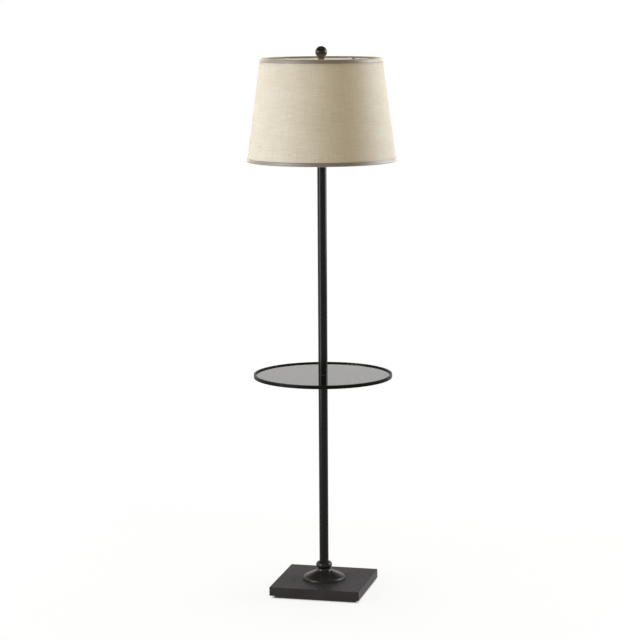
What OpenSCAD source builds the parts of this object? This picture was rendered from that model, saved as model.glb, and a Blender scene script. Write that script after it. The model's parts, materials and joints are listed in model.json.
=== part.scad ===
// Floor lamp with a round glass tray table on its pole, a square weighted base
// and a tapered fabric shade held on a wire harp.
// The origin is the centre of the base where it stands on the floor, +Z is up,
// and the sides of the base run along X and Y. The front faces -Y.

/* [Base] */
// Side of the square base cover
base_w = 251; // [200:0.2:320]
// Height of the base cover
base_h = 23.9; // [20:0.1:36]
// Sheet thickness of the base cover
base_wall = 1.2; // [0.8:0.1:1.8]
// Radius of the cover's upright corners
base_corner_r = 3; // [2:0.5:12]
// Radius of the cover's top edges
base_edge_r = 1.4; // [1:0.1:2.5]
// Height of the recessed plinth, felt included
plinth_h = 7.6; // [5.5:0.1:14]
// Step from the side of the cover back to the plinth
plinth_inset = 12; // [6:0.5:24]
// Thickness of the felt pad under the plinth
felt_t = 1.5; // [1:0.1:3]
// Thickness of the cast weight's plate
weight_t = 12; // [11:0.5:16]
// Diameter of the weight's centre boss
weight_boss_d = 64; // [56:1:90]
// Diameter of the weight's corner pads
weight_pad_d = 20; // [12:1:30]
// Diameter of the bore that the supply cord would leave through
cord_bore_d = 8; // [7:0.1:9]
// Length of the cord bushing
bushing_len = 14; // [8:0.5:20]

/* [Foot of the pole] */
// Diameter of the flared foot where it meets the base
flare_d = 117.6; // [90:0.2:150]
// Height of the flared foot
flare_h = 30; // [26:0.5:45]
// Sheet thickness of the flared foot
flare_wall = 1.5; // [1:0.1:2.5]
// Diameter of the flare's neck under the bead
flare_neck_d = 39; // [34:0.5:44]
// Radius of the hollow curve under the neck
flare_hollow_r = 9; // [6:0.5:12]
// Radius of the rounded outer edge
flare_edge_r = 9; // [5:0.5:12]
// Largest diameter of the bead ring
bead_d = 44.8; // [40:0.2:56]
// Height of the bead ring
bead_h = 19; // [16:0.5:22]
// Depth of the bead's seat for the pole
bead_seat = 6; // [4:0.5:8]

/* [Pole] */
// Outside diameter of both pole tubes
tube_d = 25.4; // [21:0.1:27]
// Wall of both pole tubes
tube_wall = 1.2; // [1:0.1:2]
// Length of the tube below the table
lower_tube_len = 525; // [350:1:700]
// Length of the tube above the table
upper_tube_len = 609.5; // [450:0.5:800]
// Length of the threaded plugs in the tube ends
plug_len = 14; // [10:1:25]
// Outside diameter of the threaded nipples
nipple_d = 10; // [9:0.1:11]
// Bore of the threaded nipples
nipple_bore = 7.4; // [6:0.1:7.6]
// Length of the nipples inside each tube
nipple_reach = 12; // [8:1:14]

/* [Table] */
// Outside diameter of the table rim
table_d = 380; // [300:1:480]
// Height of the table rim
rim_h = 9.5; // [9:0.1:16]
// Width of the rim beside the glass
rim_w = 6; // [4:0.5:10]
// Width of the ledge that the glass lies on
ledge_w = 3; // [2:0.5:6]
// Thickness of the ledge
ledge_t = 1.2; // [0.8:0.1:2]
// Thickness of the glass
glass_t = 5; // [4:0.5:6]
// Gap between the glass and the rim
glass_gap = 0.4; // [0.2:0.1:1]
// Diameter of the centre hole in the glass
glass_hole_d = 13.2; // [13:0.1:16]
// Thickness of the soft washers above and below the glass
washer_t = 1.5; // [1:0.1:3]

/* [Shade] */
// Top diameter of the shade, over its trim
shade_top_d = 331.6; // [260:0.2:380]
// Bottom diameter of the shade, over its trim
shade_bottom_d = 406.4; // [390:0.2:480]
// Upright height of the shade
shade_h = 277.8; // [200:0.2:290]
// Thickness of the fabric
fabric_t = 0.6; // [0.4:0.1:1]
// Thickness of the stiff lining behind the fabric
liner_t = 0.5; // [0.3:0.1:1]
// Thickness of the trim tape outside the fabric
trim_t = 1.4; // [0.8:0.1:2]
// Thickness of the trim tape folded inside
fold_t = 0.8; // [0.5:0.1:1.2]
// Height of the trim band outside
trim_h = 10.5; // [8:0.5:16]
// Height of the trim fold inside
fold_h = 5; // [4.5:0.5:10]
// Wire diameter of the shade's two rings
ring_wire_d = 3; // [2.4:0.1:4]
// Wire diameter of the spider's arms
arm_wire_d = 3.4; // [2.6:0.1:4]
// Number of spider arms
arm_count = 3; // [3:1:4]
// Direction of the first spider arm, in degrees
arm_phase = 70; // [0:5:115]
// Radius of the bend where the spider's arms turn up to the ring
arm_bend_r = 8; // [6:0.5:12]
// Slope of the arms' ends above the level, in degrees
arm_slope = 60; // [45:5:75]
// Depth of the spider's hub below the shade's top
spider_drop = 12.5; // [8:0.5:30]
// Diameter of the spider's hub
hub_d = 26; // [22:1:34]
// Thickness of the spider's hub
hub_t = 2.5; // [2:0.1:4]

/* [Harp] */
// Height of the harp from its saddle to the shade's hub
harp_h = 231.6; // [215:0.5:260]
// Wire diameter of the harp
harp_wire_d = 3.6; // [3:0.1:4.5]
// Distance between the harp's legs at the saddle
harp_foot_w = 62; // [56:1:72]
// Widest distance between the harp's legs
harp_w = 114; // [96:1:130]
// Radius of the harp's side bends
harp_bend_r = 40; // [28:1:48]
// Radius of the harp's top corners
harp_top_r = 45; // [30:1:46]
// Thickness of the saddle strip
saddle_t = 1.4; // [1:0.1:2]
// Diameter of the saddle's round middle
saddle_plate_d = 22; // [20:1:28]
// Height of the saddle's upturned ends
saddle_tab_h = 12; // [10:0.5:16]
// Width of the saddle's upturned ends
saddle_tab_w = 3.6; // [3:0.1:4.4]
// Height of the ferrule's collar round the wire
collar_h = 5; // [4:0.5:8]
// Distance that the ferrules slide up to free the harp
ferrule_travel = 10; // [9.5:0.5:12]
// Diameter of the threaded stud on top of the harp
stud_d = 6.35; // [5:0.05:7]
// Height of the stud above the hub's seat
stud_h = 14; // [10:0.5:18]

/* [Socket and bulb] */
// Outside diameter of the socket's cap
cap_d = 34.8; // [34.6:0.1:38]
// Height of the socket's cap
cap_h = 20; // [18:0.5:24]
// Outside diameter of the socket's shell at the switch
shell_d = 33.2; // [33:0.1:33.4]
// Outside diameter of the socket's mouth
mouth_d = 31.4; // [31.2:0.1:32]
// Height of the socket from the foot of its cap to its mouth
socket_h = 58; // [57:0.5:64]
// Sheet thickness of the socket's cap and shell
socket_wall = 0.6; // [0.4:0.1:0.7]
// Diameter of the switch knob
knob_d = 11; // [9:0.5:16]
// Length of the switch knob
knob_len = 14; // [10:0.5:20]
// Number of flutes round the knob
knob_flutes = 12; // [8:1:16]
// Distance from the socket's axis to the knob
knob_reach = 21; // [19.5:0.5:28]
// Diameter of the switch spindle
spindle_d = 4; // [3:0.1:5]
// Diameter of the bulb's screw base
bulb_base_d = 26; // [25.8:0.05:26.1]
// Height of the bulb's screw base
bulb_base_h = 25; // [24:0.5:28]
// Diameter of the bulb's globe
bulb_d = 60; // [50:1:66]
// Length of the bulb with its base
bulb_len = 107; // [100:1:112]

/* [Finial] */
// Diameter of the finial's ball
ball_d = 32; // [26:0.1:36]
// Height of the finial
finial_h = 43.7; // [42:0.1:56]
// Diameter of the finial's stem under the ball
stem_d = 17; // [13:0.2:18]
// Radius of the hollow curve between the stem and the ball
stem_curve_r = 8; // [6:0.5:10]
// Diameter of the finial's foot
finial_foot_d = 20; // [19:0.5:24]

/* [Fits] */
// Gap between pieces that turn or slide on each other
run_gap = 0.3; // [0.2:0.05:0.4]
// Radial gap of a shaft in its bore
fit_gap = 0.05; // [0.03:0.01:0.08]
// Gap round pieces that are pressed, glued or screwed together
seat_gap = 0.05; // [0.03:0.01:0.1]
// Gap between the glued layers of the shade
layer_gap = 0.1; // [0.05:0.01:0.15]
// Radial gap of the loose washers on their nipples
washer_gap = 0.2; // [0.1:0.05:0.4]
// Radial gap of the clearance holes for the nipples
hole_gap = 0.5; // [0.3:0.1:1]

/* [Hidden] */
$fn = 96;

// Colours
dark_metal = [0.16, 0.15, 0.14];
gloss_metal = [0.14, 0.13, 0.12];
pole_metal = [0.12, 0.11, 0.11];
cast_iron = [0.3, 0.3, 0.3];
zinc = [0.62, 0.62, 0.6];
brass = [0.72, 0.58, 0.3];
nickel = [0.7, 0.69, 0.66];
black_plastic = [0.08, 0.08, 0.08];
phenolic = [0.12, 0.1, 0.09];
fibre = [0.55, 0.45, 0.35];
rubber = [0.1, 0.1, 0.1];
grey_glass = [0.45, 0.46, 0.46, 0.55];
linen = [0.82, 0.77, 0.66];
tape = [0.62, 0.58, 0.52];
lining = [0.93, 0.9, 0.84];
bronze = [0.2, 0.15, 0.11];
frosted = [0.95, 0.95, 0.92];

// Length that a cut runs past the face it opens
over = 1;

// Heights of the stacked pieces
base_top = plinth_h + base_h;
cover_ceiling = base_top - base_wall;
flare_top = base_top + flare_h;
bead_top = flare_top + bead_h;
lower_tube_z = bead_top - bead_seat;
lower_tube_top = lower_tube_z + lower_tube_len;
glass_z = lower_tube_top + washer_t;
glass_top = glass_z + glass_t;
rim_z = glass_z - ledge_t;
upper_tube_z = glass_top + washer_t;
upper_tube_top = upper_tube_z + upper_tube_len;
tube_cap_t = 4;
saddle_z = upper_tube_top + tube_cap_t;
saddle_top = saddle_z + saddle_t;
harp_seat_z = saddle_top + harp_h;
hub_z = harp_seat_z + run_gap;
shade_top = hub_z + hub_t + spider_drop;
shade_bottom = shade_top - shade_h;
finial_z = hub_z + hub_t + run_gap;

// Nuts and washers
nut_af = 14;
nut_t = 4;
nut_crown = 1.1;
nut_lift = 1;
base_nut_z = plinth_h + nut_lift;
big_washer_d = 34;
big_washer_t = 2;
washer_seat_z = base_nut_z + nut_t + big_washer_t;
nut_recess_d = 40;

// Countersunk screws of the bottom plate
screw_d = 4;
screw_head_d = 7.6;
screw_head_h = (screw_head_d - screw_d) / 2;
screw_len = 10;
screw_inset = 40;
screw_end_gap = 0.6;
screw_slot_w = 1;
screw_slot_h = 0.8;

// Cast weight
weight_gap = 0.5;
weight_side = base_w - 2 * base_wall - 2 * weight_gap;
weight_pad_inset = 16;

// Cord outlet at the rear of the base
outlet_lift = 7;
outlet_z = plinth_h + outlet_lift;
bushing_wall = 1.6;
bushing_d = cord_bore_d + 2 * bushing_wall;
bushing_flange_t = 1.6;
bushing_flange_w = 1;
bushing_flange_d = bushing_d + 2 * bushing_flange_w;
channel_gap = 0.5;
channel_w = bushing_flange_d + 2 * channel_gap;
channel_top = outlet_z + channel_w / 2;

// Foot of the pole: height of the edge curve's centre over the base
flare_edge_lift = 1;

// Table pieces
washer_inset = 0.4;
washer_d = tube_d - 2 * washer_inset;
collar_short = 0.5;
grommet_collar_h = glass_t - collar_short;
glass_r = table_d / 2 - rim_w - glass_gap;
glass_edge_r = 0.8;
rim_edge_r = 0.8;

// Shade sections: every layer keeps the slope of the shade's side
shade_slope = (shade_bottom_d - shade_top_d) / 2 / shade_h;
function shade_r(z) = shade_top_d / 2 + (shade_top - z) * shade_slope;
fabric_in = trim_t + layer_gap;
liner_in = fabric_in + fabric_t + layer_gap;
ring_in = liner_in + liner_t + layer_gap;
fold_in = ring_in + ring_wire_d + 2 * layer_gap;
layer_lip = fold_t + layer_gap;
tape_round = 0.7;
ring_wire_r = ring_wire_d / 2;
ring_lip = layer_lip + ring_wire_r;
top_ring_z = shade_top - ring_lip;
bottom_ring_z = shade_bottom + ring_lip;
top_ring_r = shade_r(top_ring_z) - ring_in - ring_wire_r - layer_gap;
bottom_ring_r = shade_r(bottom_ring_z) - ring_in - ring_wire_r - layer_gap;

// Spider: how far the arms start inside the hub's edge and end before the ring's middle
arm_root = 2;
arm_end = 0.8;

// Harp: two opposite bends with a straight run of harp_run between them carry each
// leg outwards. swing_for is the angle of the bends for a given sideways shift.
harp_run = 8;
function swing_for(shift) =
    asin((shift - 2 * harp_bend_r) / norm([2 * harp_bend_r, harp_run]))
    + atan2(2 * harp_bend_r, harp_run);
harp_foot_x = harp_foot_w / 2;
harp_side_x = harp_w / 2;
harp_wire_r = harp_wire_d / 2;
harp_swing = swing_for(harp_side_x - harp_foot_x);
bend_lap = 0.4;
bend_slim = 0.01;

// Saddle and ferrules
saddle_bend = 2;
foot_z = saddle_top + saddle_bend;
tab_x = harp_foot_x + harp_wire_r + seat_gap;
tab_top = saddle_top + saddle_tab_h;
ferrule_wall = 0.9;
ferrule_bore_r = norm([harp_wire_r + seat_gap + saddle_t, saddle_tab_w / 2]) + run_gap;
ferrule_r = ferrule_bore_r + ferrule_wall;
ferrule_lift = 3.5;
ferrule_z = saddle_top + ferrule_lift;
collar_wall = 1.6;
collar_z = tab_top + run_gap;
collar_shoulder = 0.6;
ferrule_top = collar_z + collar_h;
ferrule_spare = 1;
bend_z = ferrule_top + ferrule_travel + ferrule_spare;
side_z = bend_z + 2 * harp_bend_r * sin(harp_swing) + harp_run * cos(harp_swing);

// Clamp on the top of the harp
stud_plate_t = 2;
stud_plate_d = 14;
stud_boss_d = 9;
stud_wrap = 1.4;
stud_neck = 0.6;
harp_wire_top = harp_seat_z - stud_plate_t - harp_wire_r - stud_neck;

// Socket
cap_z = saddle_top + nut_t;
boss_d = 16;
boss_h = 7;
boss_spare = 1;
dome_z = 4;
skirt_z = 13;
mouth_z = cap_z + socket_h;
shell_lap = 5.2;
shell_z = cap_z + cap_h - shell_lap;
shell_step_lift = 36;
shell_step_z = cap_z + shell_step_lift;
shell_step_h = 3;
liner_wall = 0.7;
liner_inset = 1;
block_lift = 17;
block_z = cap_z + block_lift;
block_h = 14;
block_r = 12.4;
block_top = block_z + block_h;
knob_lift = 7;
knob_z = block_z + knob_lift;
knob_hole_d = 10;
knob_edge_r = 1.2;
flute_r = 0.9;
flute_out = 0.4;
flute_start = 3;
spindle_start = 1;
screw_shell_wall = 0.5;
shell_inset = 1;
contact_t = 0.8;
contact_r = 4;
contact_gap = 3;
terminal_lift = 5;
terminal_z = block_z + terminal_lift;
terminal_d = 5;
terminal_head_h = 1.3;
terminal_shank_r = 1.5;
terminal_shank_len = 5.5;
terminal_bore = 6;

// Bulb
bulb_z = block_top + contact_t + run_gap;
bulb_cone_h = 5;
bulb_cone_r = 6.5;
bulb_tip_h = 1.2;
bulb_tip_r = 4.5;
bulb_base_wall = 0.4;
bulb_base_floor = 2;
bulb_neck_seat = 3;
bulb_neck_r = bulb_base_d / 2 - bulb_base_wall;
bulb_neck_curve = 40;
bulb_glass_wall = 1;
globe_z = bulb_z + bulb_len - bulb_d / 2;
neck_curve_x = bulb_neck_r + bulb_neck_curve;
neck_curve_z = globe_z - sqrt(pow(bulb_neck_curve + bulb_d / 2, 2) - pow(neck_curve_x, 2));

// Finial
ball_r = ball_d / 2;
ball_lift = finial_h - ball_r;
finial_foot_h = 3;
finial_chamfer = 1;
insert_r = 4.6;
insert_h = 14;

// ---------- Shared shapes ----------

// Square outline with rounded corners, centred
module rounded_square(w, r) {
    square([w, w - 2 * r], center = true);
    square([w - 2 * r, w], center = true);
    for (x = [-1, 1], y = [-1, 1])
        translate([x * (w / 2 - r), y * (w / 2 - r)]) circle(r = r);
}

// Rectangle with rounded corners, standing on its lower left corner
module rounded_rect(w, h, r) {
    translate([0, r]) square([w, h - 2 * r]);
    translate([r, 0]) square([w - 2 * r, h]);
    for (x = [r, w - r], y = [r, h - r]) translate([x, y]) circle(r = r);
}

// Half section of a disc with a rounded outer edge
module disc_section(r_out, h, r) {
    square([r_out - r, h]);
    translate([0, r]) square([r_out, h - 2 * r]);
    for (y = [r, h - r]) translate([r_out - r, y]) circle(r = r);
}

// Upright outline with rounded top corners, centred on the Y axis
module domed_outline(w, h, r) {
    translate([-w / 2, 0]) square([w, h - r]);
    translate([-w / 2 + r, 0]) square([w - 2 * r, h]);
    for (x = [-1, 1]) translate([x * (w / 2 - r), h - r]) circle(r = r);
}

// Meets a shape with its own copy turned by a quarter
module meet_quarter_turn() {
    intersection() {
        children();
        rotate([0, 0, 90]) children();
    }
}

// Square slab with rounded upright corners and rounded top edges
module slab(w, h, corner_r, edge_r) {
    intersection() {
        linear_extrude(h) rounded_square(w, corner_r);
        meet_quarter_turn() translate([0, w / 2 + over, 0]) rotate([90, 0, 0])
            linear_extrude(w + 2 * over) domed_outline(w, h, edge_r);
    }
}

// Tube from z upwards
module tube(z, h, r_out, r_in) {
    translate([0, 0, z]) difference() {
        cylinder(h = h, r = r_out);
        translate([0, 0, -over]) cylinder(h = h + 2 * over, r = r_in);
    }
}

// Hexagonal nut across the flats af, with its points turned off, from z upwards
module hex_nut(z, h, af, bore_r) {
    translate([0, 0, z]) difference() {
        intersection() {
            cylinder(h = h, d = af / cos(30), $fn = 6);
            cylinder(h = h, d = af * nut_crown);
        }
        translate([0, 0, -over]) cylinder(h = h + 2 * over, r = bore_r);
    }
}

// Threaded pipe nipple between two heights
module nipple(z0, z1) {
    tube(z0, z1 - z0, nipple_d / 2, nipple_bore / 2);
}

// Threaded plug pressed into a tube's end
module tube_plug(z) {
    tube(z, plug_len, tube_d / 2 - tube_wall - seat_gap, nipple_d / 2 + seat_gap);
}

// Straight wire in the XZ plane between two points
module wire_line(from, to, r) {
    run = to - from;
    translate([from[0], 0, from[1]])
        rotate([0, atan2(run[0], run[1]), 0]) cylinder(h = norm(run), r = r, $fn = 48);
}

// Bent wire in the XZ plane: bend radius bend_r from angle a0 to a1. It is a touch
// slimmer than the straights and ends a little way inside them.
module wire_arc(centre, bend_r, a0, a1, r) {
    lap = asin(bend_lap / bend_r);
    translate([centre[0], 0, centre[1]]) rotate([90, 0, 0]) rotate([0, 0, a0 - lap])
        rotate_extrude(angle = a1 - a0 + 2 * lap) translate([bend_r, 0])
            circle(r = r - bend_slim, $fn = 48);
}

// ---------- Base ----------

// Outline of the plinth
module plinth_outline() {
    rounded_square(base_w - 2 * plinth_inset, base_corner_r);
}

// Places of the four screws that hold the bottom plate to the weight
module at_screws() {
    reach = base_w / 2 - screw_inset;
    for (x = [-1, 1], y = [-1, 1]) translate([x * reach, y * reach, 0]) children();
}

module felt_pad() {
    color(black_plastic) linear_extrude(felt_t) plinth_outline();
}

module bottom_plate() {
    hole_r = screw_d / 2 + seat_gap;
    sink_r = screw_head_d / 2 + run_gap;
    color(black_plastic) difference() {
        translate([0, 0, felt_t]) linear_extrude(plinth_h - felt_t) plinth_outline();
        at_screws() {
            translate([0, 0, felt_t - over]) cylinder(h = plinth_h + 2 * over, r = hole_r);
            translate([0, 0, felt_t]) cylinder(h = sink_r - hole_r, r1 = sink_r, r2 = hole_r);
        }
    }
}

module bottom_plate_screws() {
    color(zinc) at_screws() translate([0, 0, felt_t]) difference() {
        union() {
            cylinder(h = screw_head_h, d1 = screw_head_d, d2 = screw_d);
            cylinder(h = screw_len, d = screw_d);
        }
        translate([-screw_head_d / 2, -screw_slot_w / 2, -over])
            cube([screw_head_d, screw_slot_w, screw_slot_h + over]);
    }
}

// Cast plate with a centre boss and corner pads that carry the cover
module base_weight() {
    pad_reach = weight_side / 2 - weight_pad_inset;
    rise = cover_ceiling - plinth_h;
    color(cast_iron) difference() {
        translate([0, 0, plinth_h]) union() {
            linear_extrude(weight_t) rounded_square(weight_side, base_corner_r);
            cylinder(h = rise, d = weight_boss_d);
            for (x = [-1, 1], y = [-1, 1]) translate([x * pad_reach, y * pad_reach, 0])
                cylinder(h = rise, d = weight_pad_d);
        }
        translate([0, 0, plinth_h - over]) {
            cylinder(h = base_h + 2 * over, r = nipple_d / 2 + hole_gap);
            cylinder(h = washer_seat_z - plinth_h + over, d = nut_recess_d);
            translate([-channel_w / 2, 0, 0])
                cube([channel_w, base_w, channel_top - plinth_h + over]);
            at_screws() cylinder(h = felt_t + screw_len + screw_end_gap - plinth_h + over,
                r = screw_d / 2 + seat_gap);
        }
    }
}

module base_cover() {
    color(dark_metal) difference() {
        translate([0, 0, plinth_h]) slab(base_w, base_h, base_corner_r, base_edge_r);
        translate([0, 0, plinth_h - over]) linear_extrude(base_h - base_wall + over)
            rounded_square(base_w - 2 * base_wall, base_corner_r - base_wall);
        translate([0, 0, cover_ceiling - over])
            cylinder(h = base_wall + 2 * over, r = nipple_d / 2 + hole_gap);
        translate([0, base_w / 2 - base_wall - over, outlet_z]) rotate([-90, 0, 0])
            cylinder(h = base_wall + 2 * over, r = bushing_d / 2 + seat_gap);
    }
}

module cord_bushing() {
    color(black_plastic) translate([0, base_w / 2, outlet_z]) rotate([-90, 0, 0]) difference() {
        union() {
            translate([0, 0, -bushing_len]) cylinder(h = bushing_len, d = bushing_d);
            translate([0, 0, -base_wall - bushing_flange_t])
                cylinder(h = bushing_flange_t, d = bushing_flange_d);
        }
        translate([0, 0, -bushing_len - over])
            cylinder(h = bushing_len + 2 * over, d = cord_bore_d);
    }
}

module base_washer() {
    color(zinc) tube(base_nut_z + nut_t, big_washer_t, big_washer_d / 2, nipple_d / 2 + washer_gap);
}

module base_lock_nut() {
    color(zinc) hex_nut(base_nut_z, nut_t, nut_af, nipple_d / 2 + seat_gap);
}

module base_nipple() {
    color(zinc) nipple(base_nut_z, lower_tube_z + nipple_reach);
}

// ---------- Foot of the pole ----------

// Half section of the flared foot: a hollow curve, a cone and a rounded edge that
// meet smoothly. skin is how far the section lies inside the outer surface.
module flare_section(skin) {
    hollow = [flare_neck_d / 2 + flare_hollow_r, flare_h];
    edge = [flare_d / 2 - flare_edge_r, flare_edge_lift];
    hollow_r = flare_hollow_r + skin;
    edge_r = flare_edge_r - skin;
    run = edge - hollow;
    tilt = -atan2(run[1], run[0]) - asin((hollow_r + edge_r) / norm(run));
    normal = [sin(tilt), cos(tilt)];
    difference() {
        union() {
            polygon([
                [0, 0], [edge[0] + edge_r, 0], edge + [edge_r, 0], edge, edge + edge_r * normal,
                hollow - hollow_r * normal, hollow, hollow - [hollow_r, 0],
                [hollow[0] - hollow_r, flare_h - skin], [0, flare_h - skin]
            ]);
            intersection() {
                translate(edge) circle(r = edge_r);
                square([flare_d, flare_h]);
            }
        }
        translate(hollow) circle(r = hollow_r);
        translate([0, flare_h - skin]) square([flare_d, flare_h]);
    }
}

module base_flare() {
    color(gloss_metal) translate([0, 0, base_top]) difference() {
        rotate_extrude() flare_section(0);
        rotate_extrude() flare_section(flare_wall);
        cylinder(h = flare_h + over, r = nipple_d / 2 + hole_gap);
    }
}

module neck_bead() {
    round_r = bead_h / 2;
    core = bead_d / 2 - round_r;
    color(gloss_metal) translate([0, 0, flare_top]) difference() {
        rotate_extrude() {
            translate([core, round_r]) circle(r = round_r);
            square([core, bead_h]);
        }
        translate([0, 0, -over]) cylinder(h = bead_h + 2 * over, r = nipple_d / 2 + hole_gap);
        translate([0, 0, bead_h - bead_seat])
            cylinder(h = bead_seat + over, r = tube_d / 2 + seat_gap);
    }
}

// ---------- Pole ----------

module lower_tube() {
    color(pole_metal) tube(lower_tube_z, lower_tube_len, tube_d / 2, tube_d / 2 - tube_wall);
}

module lower_tube_foot_plug() {
    color(zinc) tube_plug(lower_tube_z);
}

module lower_tube_head_plug() {
    color(zinc) tube_plug(lower_tube_top - plug_len);
}

module upper_tube() {
    color(pole_metal) tube(upper_tube_z, upper_tube_len, tube_d / 2, tube_d / 2 - tube_wall);
}

module upper_tube_foot_plug() {
    color(zinc) tube_plug(upper_tube_z);
}

module upper_tube_head_plug() {
    color(zinc) tube_plug(upper_tube_top - plug_len);
}

module table_nipple() {
    color(zinc) nipple(lower_tube_top - nipple_reach, upper_tube_z + nipple_reach);
}

module head_nipple() {
    color(zinc) nipple(upper_tube_top - nipple_reach, cap_z + boss_h - boss_spare);
}

// ---------- Table ----------

// Soft flanged bushing that keeps the glass off the metal
module glass_grommet() {
    color(rubber) translate([0, 0, lower_tube_top]) difference() {
        union() {
            cylinder(h = washer_t, d = washer_d);
            cylinder(h = washer_t + grommet_collar_h, r = glass_hole_d / 2 - washer_gap);
        }
        translate([0, 0, -over])
            cylinder(h = washer_t + glass_t + 2 * over, r = nipple_d / 2 + washer_gap);
    }
}

module glass_washer() {
    color(rubber) tube(glass_top, washer_t, washer_d / 2, nipple_d / 2 + washer_gap);
}

// Glass disc with ground round edges
module table_glass() {
    hole_r = glass_hole_d / 2;
    color(grey_glass) translate([0, 0, glass_z]) rotate_extrude()
        translate([hole_r, 0]) rounded_rect(glass_r - hole_r, glass_t, glass_edge_r);
}

// Ring with a ledge inside its foot
module table_rim() {
    color(dark_metal) translate([0, 0, rim_z]) rotate_extrude() {
        translate([table_d / 2 - rim_w, 0]) rounded_rect(rim_w, rim_h, rim_edge_r);
        translate([table_d / 2 - rim_w - ledge_w, 0]) square([ledge_w + rim_w / 2, ledge_t]);
    }
}

// ---------- Head of the pole ----------

module tube_cap() {
    edge_r = 1.6;
    color(gloss_metal) translate([0, 0, upper_tube_top]) difference() {
        rotate_extrude() disc_section(tube_d / 2 + edge_r, tube_cap_t, edge_r);
        translate([0, 0, -over]) cylinder(h = tube_cap_t + 2 * over, r = nipple_d / 2 + seat_gap);
    }
}

// Half side view of the saddle strip, with its bend and upturned end
module saddle_side() {
    bend_x = tab_x - saddle_bend;
    square([bend_x, saddle_t]);
    translate([tab_x, saddle_t + saddle_bend]) square([saddle_t, saddle_tab_h - saddle_bend]);
    translate([bend_x, saddle_t + saddle_bend]) intersection() {
        difference() {
            circle(r = saddle_bend + saddle_t);
            circle(r = saddle_bend);
        }
        translate([0, -saddle_bend - saddle_t]) square(saddle_bend + saddle_t);
    }
}

module harp_saddle() {
    color(nickel) translate([0, 0, saddle_z]) difference() {
        intersection() {
            translate([0, saddle_plate_d / 2, 0]) rotate([90, 0, 0]) linear_extrude(saddle_plate_d) {
                saddle_side();
                mirror([1, 0]) saddle_side();
            }
            linear_extrude(saddle_t + saddle_tab_h + over) {
                circle(d = saddle_plate_d);
                square([2 * (tab_x + saddle_t + over), saddle_tab_w], center = true);
            }
        }
        translate([0, 0, -over]) cylinder(h = saddle_t + 2 * over, r = nipple_d / 2 + washer_gap);
    }
}

module saddle_lock_nut() {
    color(brass) hex_nut(saddle_top, nut_t, nut_af, nipple_d / 2 + seat_gap);
}

// ---------- Socket ----------

// Half section of the socket cap: threaded boss, dome and skirt
module cap_section(skin) {
    r = cap_d / 2 - skin;
    boss_r = boss_d / 2 - skin;
    square([boss_r, boss_h]);
    polygon([[0, dome_z + skin], [boss_r, dome_z + skin], [r, skirt_z + skin], [r, cap_h], [0, cap_h]]);
}

module socket_cap() {
    color(brass) translate([0, 0, cap_z]) difference() {
        rotate_extrude() cap_section(0);
        translate([0, 0, boss_h]) rotate_extrude() intersection() {
            translate([0, -boss_h]) cap_section(socket_wall);
            square([cap_d, cap_h]);
        }
        translate([0, 0, cap_h - over]) cylinder(h = 2 * over, r = cap_d / 2 - socket_wall);
        translate([0, 0, -over]) cylinder(h = boss_h + 2 * over, r = nipple_d / 2 + seat_gap);
    }
}

// Stepped half section of the socket shell
module shell_section(skin) {
    wide = shell_d / 2 - skin;
    narrow = mouth_d / 2 - skin;
    polygon([
        [0, shell_z], [wide, shell_z], [wide, shell_step_z],
        [narrow, shell_step_z + shell_step_h], [narrow, mouth_z], [0, mouth_z]
    ]);
}

// Round hole that the switch spindle leaves through
module knob_hole() {
    translate([0, 0, knob_z]) rotate([90, 0, 0]) cylinder(h = cap_d, d = knob_hole_d);
}

module socket_shell() {
    color(brass) difference() {
        rotate_extrude() shell_section(0);
        rotate_extrude() shell_section(socket_wall);
        translate([0, 0, shell_z - over]) cylinder(h = 2 * over, r = shell_d / 2 - socket_wall);
        translate([0, 0, mouth_z - over]) cylinder(h = 2 * over, r = mouth_d / 2 - socket_wall);
        knob_hole();
    }
}

// Fibre sleeve between the shell and the live parts
module socket_liner() {
    r = mouth_d / 2 - socket_wall - seat_gap;
    color(fibre) difference() {
        tube(shell_z + liner_inset, mouth_z - shell_z - 2 * liner_inset, r, r - liner_wall);
        knob_hole();
    }
}

module socket_body() {
    color(phenolic) difference() {
        translate([0, 0, block_z]) cylinder(h = block_h, r = block_r);
        translate([0, 0, knob_z]) rotate([90, 0, 0])
            cylinder(h = block_r + over, r = spindle_d / 2 + fit_gap);
        for (x = [-1, 1]) translate([x * block_r, 0, terminal_z]) rotate([0, 90, 0])
            cylinder(h = 2 * terminal_bore, r = terminal_shank_r + seat_gap, center = true);
    }
}

module screw_shell() {
    r = bulb_base_d / 2 + 2 * fit_gap;
    color(brass) translate([0, 0, block_top]) difference() {
        cylinder(h = mouth_z - shell_inset - block_top, r = r + screw_shell_wall);
        translate([0, 0, screw_shell_wall]) cylinder(h = socket_h, r = r);
        translate([0, 0, -over])
            cylinder(h = screw_shell_wall + 2 * over, r = contact_r + contact_gap);
    }
}

module centre_contact() {
    color(brass) translate([0, 0, block_top]) cylinder(h = contact_t, r = contact_r);
}

module terminal_screws() {
    color(brass) for (side = [0, 1]) mirror([side, 0, 0])
        translate([block_r, 0, terminal_z]) rotate([0, 90, 0]) {
            cylinder(h = terminal_head_h, d = terminal_d);
            translate([0, 0, -terminal_shank_len])
                cylinder(h = terminal_shank_len + terminal_head_h / 2, r = terminal_shank_r);
        }
}

// Spindle with a fluted knob, turning about the Y axis
module switch_knob() {
    color(black_plastic) translate([0, 0, knob_z]) rotate([90, 0, 0]) {
        translate([0, 0, spindle_start]) cylinder(h = knob_reach, d = spindle_d);
        translate([0, 0, knob_reach]) difference() {
            rotate_extrude() disc_section(knob_d / 2, knob_len, knob_edge_r);
            for (i = [0 : knob_flutes - 1]) rotate([0, 0, i * 360 / knob_flutes])
                translate([knob_d / 2 + flute_out, 0, flute_start])
                    cylinder(h = knob_len, r = flute_r, $fn = 24);
        }
    }
}

// ---------- Bulb ----------

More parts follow.
